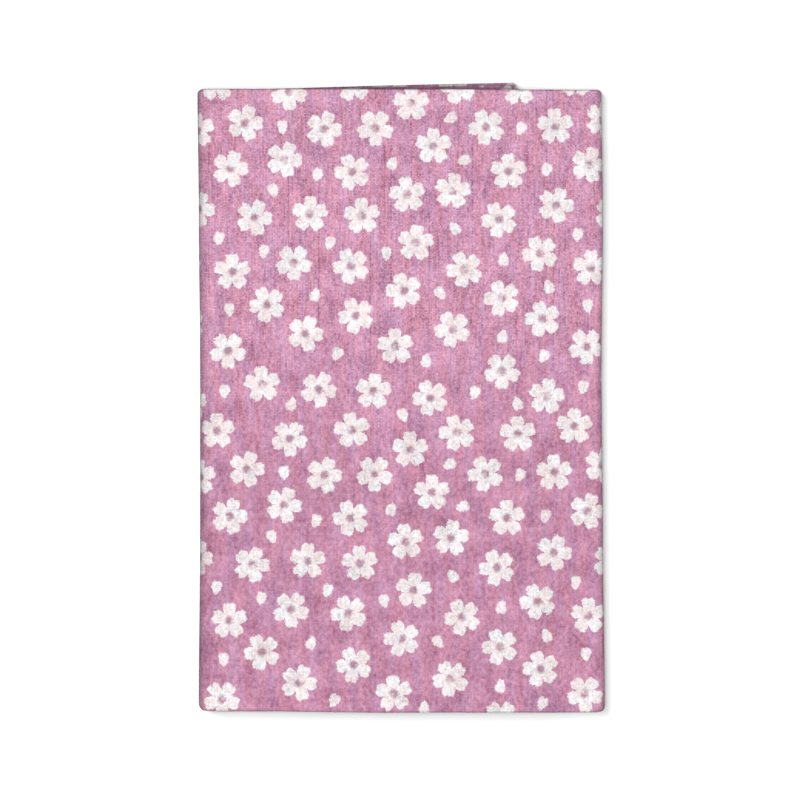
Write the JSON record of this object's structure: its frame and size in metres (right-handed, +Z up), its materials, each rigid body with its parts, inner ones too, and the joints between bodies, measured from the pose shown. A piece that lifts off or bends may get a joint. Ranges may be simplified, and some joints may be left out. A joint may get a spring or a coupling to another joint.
{
  "type": "folded tenugui towel",
  "caption": "Cotton hand towel with a printed blossom pattern, folded into a flat upright oblong pack that lies on its back flap.",
  "frame": {"origin": "middle of the underside, on the surface that the folded towel lies on", "axes": "+Z up out of the front face, +Y to the front face's top edge, along the longer side, +X to its right"},
  "size_m": [0.119, 0.1842, 0.0083],
  "materials": {
    "cotton": "matt plain-woven cotton, dyed mauve pink with small undyed blossoms"
  },
  "bodies": {
    "root": {"towel": "cotton"}
  },
  "joints": []
}
